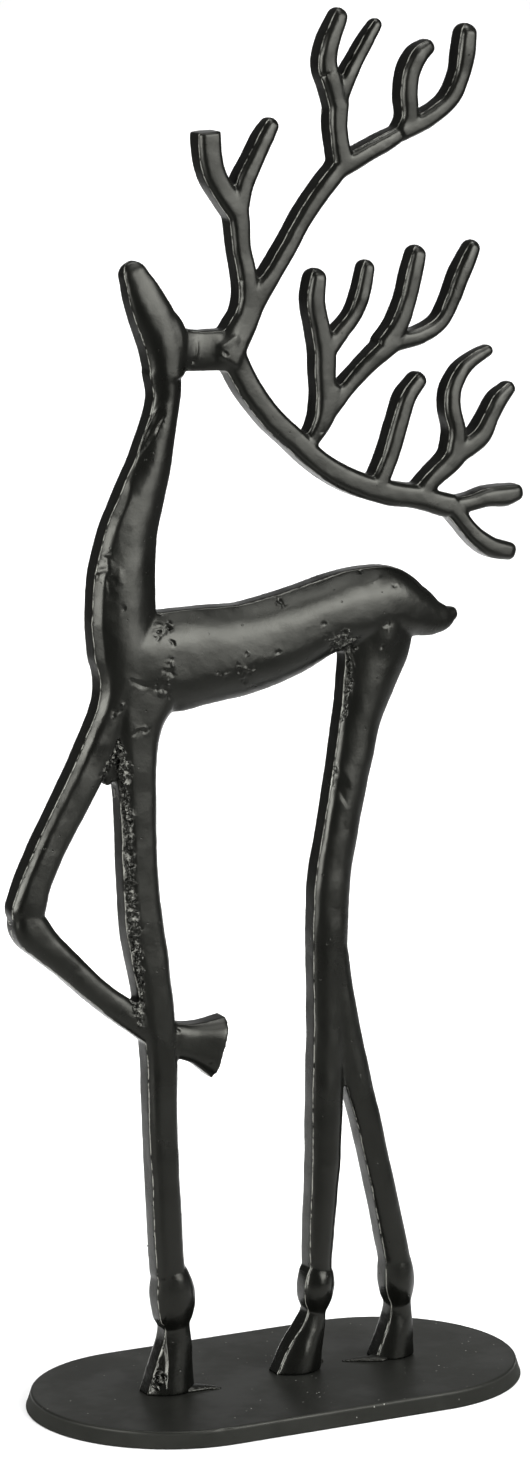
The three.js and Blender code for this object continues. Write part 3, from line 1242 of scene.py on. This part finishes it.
@dataclass
class Studio:
    """A pale floor, soft light and the camera.

    Lengths are in metres and angles in degrees. The focus is in the photograph's pixels.
    """

    boxes: tuple[SoftBox, ...]
    floor_tone: float = 0.8
    sky: float = 0.15
    lamp_way: float = 4.0
    lamp_height: float = 1.1
    lamp_size: tuple[float, float] = (0.9, 7.8)
    lamp_radiance: float = 1.5
    lamp_spread: float = 60.0
    eye: tuple[float, float, float] = (-0.97861, -1.85266, 0.66138)
    yaw: float = -27.74
    pitch: float = 11.256
    focus: float = 6000.0
    rows: int = 1459
    sensor: float = 36.0
    middle: float = 0.25
    floor_reach: float = 30.0

    def floor(self) -> None:
        """Lays the floor."""
        mesh = bpy.data.meshes.new("floor")
        reach = self.floor_reach
        corners = [(-reach, -reach, 0), (reach, -reach, 0), (reach, reach, 0), (-reach, reach, 0)]
        mesh.from_pydata(corners, [], [(0, 1, 2, 3)])
        material = bpy.data.materials.new("pale floor")
        material.use_nodes = True
        nodes = Nodes(material.node_tree)
        tone = (self.floor_tone, self.floor_tone, self.floor_tone, 1.0)
        sockets = {"Base Color": tone, "Roughness": 0.9, "Specular IOR Level": 0.1}
        shader = nodes.add("ShaderNodeBsdfPrincipled", None, sockets)
        nodes.add("ShaderNodeOutputMaterial", None, {"Surface": shader})
        mesh.materials.append(material)
        floor = bpy.data.objects.new("floor", mesh)
        bpy.context.scene.collection.objects.link(floor)

    def air(self) -> None:
        """Sets the light that comes from all round."""
        world = bpy.data.worlds.new("studio")
        world.use_nodes = True
        nodes = Nodes(world.node_tree)
        sockets = {"Color": (1.0, 1.0, 1.0, 1.0), "Strength": self.sky}
        light = nodes.add("ShaderNodeBackground", None, sockets)
        nodes.add("ShaderNodeOutputWorld", None, {"Surface": light})
        bpy.context.scene.world = world

    def ceiling(self) -> None:
        """Hangs the long lamp that lights the floor behind the statue from above."""
        lamp = hang_light("ceiling_lamp", self.lamp_size, self.lamp_radiance, self.lamp_spread)
        turn = math.radians(self.yaw)
        along = (-math.sin(turn) * self.lamp_way, math.cos(turn) * self.lamp_way)
        lamp.location = (*along, self.lamp_height)
        lamp.rotation_euler = (0.0, 0.0, turn)

    def camera(self) -> None:
        """Stands the camera where the photograph was taken."""
        lens = bpy.data.cameras.new("camera")
        lens.sensor_fit = "VERTICAL"
        lens.sensor_height = self.sensor
        lens.lens = self.focus / self.rows * self.sensor
        lens.clip_start = 0.01
        lens.clip_end = 100.0
        camera = bpy.data.objects.new("camera", lens)
        camera.location = self.eye
        camera.rotation_euler = (math.radians(90 - self.pitch), 0.0, math.radians(self.yaw))
        bpy.context.scene.collection.objects.link(camera)
        bpy.context.scene.camera = camera

    def build(self) -> None:
        """Sets up the studio."""
        bpy.context.scene.view_settings.view_transform = "Standard"
        bpy.context.scene.view_settings.look = "Medium High Contrast"
        self.floor()
        self.air()
        self.ceiling()
        for box in self.boxes:
            box.build(Vector((0.0, 0.0, self.middle)))
        self.camera()


# The statue


def bar(*stations: tuple[float, ...]) -> Limb:
    """A bar with flat faces, as the antlers' are."""
    return Limb(stations, crown=6.0)


def tine(*stations: tuple[float, ...]) -> Limb:
    """A flat bar with a rounded tip."""
    return Limb(stations, rounded=True, crown=6.0)


LIMBS = {
    "neck_to_knee": Limb((
      (-91.5, 750, 25, 27.5), (-90, 731, 22, 26), (-94.5, 710, 23.5, 26), (-101, 686, 29.5, 27),
      (-109.5, 661, 35.5, 28.5), (-118, 637, 41, 30.5), (-123.5, 606, 48.5, 33.5),
      (-124.5, 575, 51, 35.5), (-122, 545, 51.5, 37), (-126, 524, 38, 33.5),
      (-132, 509, 30, 30), (-153, 467.5, 26.5, 26), (-180.5, 419.5, 24.5, 24.5),
      (-194.5, 392, 24.5, 24.5), (-200.8, 373, 27.2, 24.5),
    ), rounded=True, flat_below=250.0, edge=(176.0, 330.0, 2.5)),
    "head": Limb((
      (-89, 744, 26, 27.5), (-91.5, 767.5, 31.5, 28), (-99, 787, 30.5, 26.5),
      (-107.5, 805.5, 25.5, 22.5), (-113, 817.5, 19, 17.5),
    ), rounded=True, crown=2.8),
    "cheek": Limb((
      (-107.5, 802, 18, 20), (-96.5, 788, 23, 24), (-86.5, 774, 25, 25.5),
      (-85.5, 761, 23.5, 25.5), (-86, 751, 19, 24),
    ), rounded=True, crown=2.8),
    "torso": Limb((
      (-122, 544.5, 65.5, 36.5), (-85.5, 541, 73.5, 39), (-61.5, 542.5, 70.5, 41),
      (-29, 544.5, 66.5, 42), (3, 551.5, 63, 43), (20, 557, 59.5, 43), (38, 563, 56, 43),
      (64.5, 567.5, 57, 42), (89.5, 569.5, 51, 39), (110, 561.5, 39, 33), (126.5, 555, 27, 25),
      (137.5, 554.5, 18, 19.5), (143, 556, 10, 14),
    ), rounded=True, crown=2.9),
    "thigh": Limb((
      (79, 563, 61, 31), (80, 541, 55.5, 33.5), (73.5, 512.5, 44, 31.5), (66.5, 487, 35, 29),
      (60, 454.5, 31.5, 28), (51.5, 411, 29.5, 27), (44, 370.5, 29, 27), (42, 330, 29, 27),
      (41.5, 277, 26.5, 26), (39.5, 187, 25, 25), (38, 141.5, 23, 24.5), (34.5, 88, 19.5, 23.5),
      (34.5, 70, 17.5, 22.5),
    ), crown=2.3, edge=(176.0, 244.0, 1.5)),
    "haunch": Limb((
      (70, 588, 30, 34), (79, 567, 44, 38), (81, 546, 44, 37), (76, 524, 36, 30),
    ), crown=2.2),
    "foreleg": Limb((
      (-108, 524, 59, 34.5), (-114, 504, 47, 33), (-115.5, 486, 37.5, 31.5),
      (-115.5, 466, 32.5, 30), (-114, 442, 29, 28), (-112.5, 390, 28, 27),
      (-108.5, 346, 30, 27), (-103.5, 317, 28.5, 27), (-96.5, 263.5, 25, 25.5),
      (-94.5, 196, 23, 25), (-91, 120.5, 23, 25), (-89, 88, 23, 24.5),
    ), crown=4.5),
    "chest_web": bar(
      (-124, 500, 24, 21.5), (-131, 477, 16, 16), (-137, 455, 5, 8),
    ),
    "raised_shin": Limb((
      (-204, 380, 12, 22), (-199, 359, 26.6, 24.5), (-186, 343, 23.5, 24),
      (-170, 328, 20.5, 22.5), (-138.5, 299, 19, 21.5), (-98.5, 270.5, 24, 21.5),
    ), crown=3.6),
    "raised_hoof": Limb((
      (-98, 268, 25, 21.5), (-78.5, 261.5, 26, 22.5), (-66, 258.5, 31.5, 26.5),
      (-49.5, 254, 46.5, 33.5),
    ), crown=4.5),
    "poll": Limb((
      (-84, 763, 30, 26), (-75, 763, 29.5, 20), (-67.5, 762, 29, 17.5),
      (-60, 761.5, 28.5, 18.5), (-50, 761.5, 29, 22), (-40, 760.5, 29, 26),
    )),
    "lower_beam": bar(
      (-44, 769, 24, 25.5), (-33.5, 749.5, 19.5, 21.5), (-20.5, 727.5, 18, 21), (-5, 709, 17.5),
      (14.5, 691.5, 17.5), (35, 673.5, 17.5), (61, 659, 18), (88, 649.5, 18),
      (114.5, 644, 17.5), (139.5, 636, 17.5),
    ),
    "lower_beam_end": tine(
      (134, 635, 13), (154.5, 636.5, 13), (171.5, 640, 14), (186.5, 640, 16),
      (195.5, 641.5, 13),
    ),
    "lower_beam_spur": tine(
      (138, 640, 14.5), (151, 624, 13.5), (161, 613, 13.5), (175, 603, 15), (189.5, 599, 13.5),
    ),
    "palm_stem": bar(
      (20, 684, 11), (29, 695.5, 13), (35.5, 706.5, 16), (38.5, 717, 19), (40, 731, 21),
    ),
    "palm_tine_1": tine(
      (38, 719.5, 16.5), (37, 740, 17), (36.5, 755, 17), (33, 771.5, 15.5), (29, 792, 15),
      (31, 808, 13.5),
    ),
    "palm_tine_2": tine(
      (38, 755.5, 14.5), (50.5, 768, 12.5), (61, 779.5, 11.5), (67.5, 794, 12), (72, 813, 11),
    ),
    "palm_branch": bar(
      (36, 707, 13.5), (52, 725, 13.5), (66.5, 738.5, 13), (82.5, 751.5, 14.5), (96, 760.5, 15),
    ),
    "palm_tine_3": tine(
      (85, 756, 14.5), (97.5, 772, 14.5), (104.5, 789, 13.5), (109, 806, 13.5),
      (113, 820.5, 12.5),
    ),
    "palm_tine_4": tine(
      (93, 758, 13.5), (114.5, 761.5, 12.5), (132, 770.5, 12), (141.5, 786.5, 12.5),
      (149, 804, 13), (159, 822.5, 11),
    ),
    "middle_tine": tine(
      (76, 648, 13.5), (86.5, 668, 14), (93, 684, 14), (98.5, 701, 13.5), (105, 718, 13.5),
      (114, 729, 12),
    ),
    "fork_stem": bar(
      (110, 642, 12.5), (125.5, 656.5, 14.5), (140, 668, 16.5), (149.5, 679.5, 19.5),
    ),
    "fork_tine_1": tine(
      (143, 672, 15), (145.5, 690.5, 14), (141.5, 707, 13.5), (142.5, 721.5, 13),
      (151, 735, 11.5), (163, 743, 10), (172.5, 747, 8),
    ),
    "fork_tine_2": tine(
      (147, 674, 15), (165.5, 685.5, 15.5), (174, 699.5, 13.5), (181, 710.5, 13),
      (190, 718.5, 10),
    ),
    "upper_beam": bar(
      (-44, 754, 25, 25.5), (-30.5, 776.5, 22, 21.5), (-18.5, 796, 17.5, 21), (-5.5, 813, 14),
      (7.5, 832, 13.5), (20, 851.5, 13.5), (34.5, 870.5, 14), (50, 886.5, 14.5),
    ),
    "brow_stem": bar(
      (-31, 776, 17), (-25.5, 795.5, 15.5), (-26, 813, 15.5), (-30.5, 834.5, 15),
      (-32, 852.5, 16), (-34.5, 868, 17.5),
    ),
    "brow_tine_1": bar(
      (-31.5, 856, 16.5), (-43, 871.5, 17), (-51.5, 886, 17.5), (-55, 900, 18), (-56, 916, 18),
    ),
    "brow_tine_2": tine(
      (-32, 862, 15), (-28, 878.5, 14.5), (-20, 894, 13.5), (-12, 908, 13), (-5.5, 918, 11),
    ),
    "crown_stem": bar(
      (53, 882, 16), (49, 899.5, 15), (47, 916, 15), (48, 933, 15.5),
    ),
    "crown_tine_1": tine(
      (48, 924, 13), (43, 944, 15), (38, 960, 15.5), (41, 975, 14), (49, 993, 11.5),
    ),
    "crown_tine_2": tine(
      (47, 926, 11), (53.5, 945, 12.5), (62, 960.5, 11), (71.5, 975, 10.5), (79, 986, 8.5),
    ),
    "crown_branch": bar(
      (45, 883, 14.5), (66.5, 893.5, 14), (86, 902.5, 13.5), (101, 909.5, 11),
    ),
    "crown_tine_3": tine(
      (98.5, 908, 12), (105, 919.5, 13.5), (104, 936, 14), (106, 951, 14), (113, 963.5, 13.5),
      (120.5, 968.5, 11),
    ),
    "crown_tine_4": tine(
      (98, 908.5, 13.5), (121.5, 918.5, 13.5), (139, 931, 13), (148, 948, 13),
      (151, 963.5, 14.5), (153, 977, 13.5),
    ),
    "far_hind_leg": Limb((
      (43, 330, 22, 25.5), (53, 268.5, 22, 25), (64, 221.5, 22, 24.5), (74.5, 182.5, 20, 23.5),
      (89.5, 119.5, 20, 23.5), (100, 70.5, 20.5, 23.5),
    ), crown=2.4),
    "fore_fetlock": Limb((
      (-89, 93, 19.5, 23), (-87.5, 88, 25, 26.5), (-85.5, 76, 30.5, 30), (-84.5, 64.5, 30, 30),
      (-85, 54, 25.5, 27), (-85, 48, 18.5, 22),
    )),
    "fore_hoof": Limb((
      (-84.5, 58, 20.5, 23), (-84, 45.5, 20.5, 23), (-84.5, 33, 25, 26), (-87, 15.5, 32.5, 31),
      (-90, -6, 41.5, 37),
    )),
    "hind_fetlock": Limb((
      (34.5, 79, 15, 19), (34, 74, 21.5, 24), (33.5, 63, 25, 28), (32.5, 52, 22.5, 26),
      (32, 45, 15.5, 20),
    )),
    "hind_hoof": Limb((
      (32.5, 52, 15.5, 19), (31, 41.5, 16, 19), (27, 28.5, 21.5, 24), (21, 14, 30, 29),
      (15, -6, 38, 33),
    )),
    "far_fetlock": Limb((
      (99, 78, 15.5, 19), (99.5, 73, 21.5, 24), (101, 58, 25, 28), (101.5, 47, 21.5, 25),
      (102.5, 40, 15.5, 20),
    )),
    "far_hoof": Limb((
      (102, 48, 16.5, 19), (102, 35, 18, 20), (101, 22, 23, 24), (99, 10.5, 28, 27),
      (96, -6, 36, 32),
    )),
}

# Places are in millimetres: along the plate and up.
FLAWS = (
    Flaw(-48.0, 19.0, 13.0, 1.0, 0.55, 88.0),
    Flaw(-58.7, 267.6, 3.2, 1.0, 0.5, -20.0),
    Flaw(-72.7, 306.0, 1.0, 1.0, -0.3),
    Flaw(-64.2, 294.6, 0.6, 0.6, 0.4),
    Flaw(-4.4, 274.4, 0.9, 0.7, 0.4, 30.0),
    Flaw(14.0, 283.0, 0.8, 0.6, 0.35),
    Flaw(32.0, 300.0, 0.8, 0.8, 0.4),
    Flaw(40.0, 280.5, 1.5, 0.9, 0.45, 50.0),
    Flaw(38.5, 272.5, 0.9, 0.8, 0.4),
    Flaw(43.5, 294.0, 0.9, 0.6, 0.3),
    Flaw(27.5, 269.0, 5.5, 0.7, -0.35, -70.0),
    Flaw(21.7, 224.5, 9.0, 2.6, 0.45, 110.0),
    Flaw(-42.0, 140.0, 0.9, 0.8, 0.5),
    Flaw(-30.1, 127.2, 0.7, 0.6, 0.3),
    Flaw(-22.9, 381.2, 1.0, 0.9, 0.4),
    Flaw(-34.7, 379.1, 0.7, 0.6, 0.5),
    Flaw(-33.3, 383.3, 4.0, 0.55, -0.3, 88.0),
    Flaw(-50.7, 356.7, 5.5, 1.5, 0.6, 62.0),
    Flaw(-52.9, 355.6, 6.5, 0.7, -0.3, 64.0),
    Flaw(28.0, 488.0, 1.4, 0.8, 0.4, 40.0),
    Flaw(16.0, 476.0, 3.4, 0.6, 0.4, 20.0),
)

CLUSTERS = (
    Cluster(-48.0, 285.7, 5.5, 5.0, 16, 1.0, 0.36, 1),
    Cluster(-17.5, 268.5, 3.5, 7.0, 12, 0.8, 0.3, 2),
    Cluster(-26.2, 268.5, 2.0, 3.0, 6, 0.8, 0.3, 3),
    Cluster(-46.2, 272.2, 3.0, 3.0, 6, 0.8, 0.35, 4),
    Cluster(-0.5, 291.5, 3.0, 1.5, 6, 0.8, 0.4, 5),
    Cluster(-50.2, 265.0, 4.0, 3.0, 7, 1.0, 0.35, 6),
    Cluster(-56.6, 251.0, 3.0, 1.5, 5, 1.1, 0.4, 7),
    Cluster(-65.8, 258.7, 3.0, 2.5, 5, 0.9, 0.35, 8),
    Cluster(-68.9, 306.0, 3.5, 8.0, 10, 1.4, 0.25, 9),
    Cluster(-18.5, 367.0, 2.5, 4.0, 7, 0.8, 0.25, 10),
    Cluster(-19.0, 402.0, 4.5, 7.0, 12, 1.0, 0.3, 11),
    Cluster(-55.8, 388.0, 1.8, 5.0, 7, 0.8, 0.25, 12),
)

ROUGH = (
    Streak(
        (
            (248.6, -65.4, -65.2), (244.0, -67.5, -63.0), (236.0, -72.7, -61.0),
            (230.0, -71.5, -60.3), (222.0, -65.5, -59.9), (197.5, -65.2, -59.4),
            (182.9, -65.0, -57.7), (172.0, -64.2, -56.6), (154.0, -61.0, -55.1),
            (142.8, -57.5, -56.3),
        )
    ),
    Streak(
        (
            (270.0, 21.0, 27.5), (262.5, 19.8, 28.0), (251.0, 19.0, 26.0), (241.0, 17.6, 23.8),
            (227.5, 15.3, 21.5), (217.0, 13.6, 19.0), (208.5, 12.7, 17.0), (199.0, 11.9, 16.0),
            (184.8, 10.5, 13.6), (175.0, 10.4, 12.6), (167.0, 11.2, 12.0),
        ),
        0.8,
    ),
    Streak(
        (
            (136.0, -56.3, -55.9), (128.0, -56.2, -54.2), (108.0, -55.2, -53.2),
            (104.0, -54.0, -53.9),
        ),
        0.5,
    ),
    Flaw(23.0, 275.4, 6.5, 4.5, 0.7),
    Flaw(-53.5, 12.0, 5.0, 4.0, 1.0),
)

WELDS = (
    Bead(
        "weld_fore",
        ((-38.5, -3.5, 6.4), (-34.0, -4.5, 6.4), (-30.5, -5.6, 6.3), (-27.0, -7.4, 6.1)),
        4.0,
    ),
    Bead("weld_hind", ((19.0, 5.0, 6.0), (14.0, 6.6, 6.0), (8.0, 7.0, 6.0), (2.0, 6.2, 6.0)), 3.0),
    Bead(
        "weld_far", ((41.0, -3.6, 6.4), (37.0, -2.6, 6.4), (33.0, -1.0, 6.3), (28.5, 0.3, 6.1)), 3.2
    ),
)

LIGHTS = (
    SoftBox("key_box", 29.0, 0.42, 0.52, 0.54, 0.66, 1.6, 74.0),
    SoftBox("top_box", 25.0, 1.35, 0.45, 0.90, 0.70, 0.30, 50.0),
    SoftBox("edge_box", -76.0, 0.42, 1.10, 0.42, 0.90, 2.9),
    SoftBox("back_box", 152.0, 0.98, 3.00, 1.60, 0.50, 0.14),
)


def main() -> None:
    """Makes the statue and its studio."""
    logging.basicConfig(level=logging.INFO, format="%(name)s: %(message)s")
    casting = BlackPaint("black_cast_iron")
    plain = BlackPaint(
        "black_plate",
        smooth=0.4,
        dull=0.5,
        rim_dull=0.8,
        dust=0.6,
        speck=3.6,
        colour=(0.011, 0.0115, 0.010),
        reads_lip=False,
        skin_depth=0.02,
        grain_depth=0.015,
    )
    flaws = (*FLAWS, *(flaw for cluster in CLUSTERS for flaw in cluster.flaws()))
    log.info("plate: %s", BasePlate(plain).build().name)
    log.info("casting: %s", Stag(LIMBS, casting, flaws=flaws, rough=ROUGH).build().name)
    weld = BlackPaint("black_weld", reads_lip=False)
    for bead in Welds(WELDS, weld).build():
        log.info("weld: %s", bead.name)
    Studio(LIGHTS).build()


if __name__ == "__main__":
    main()
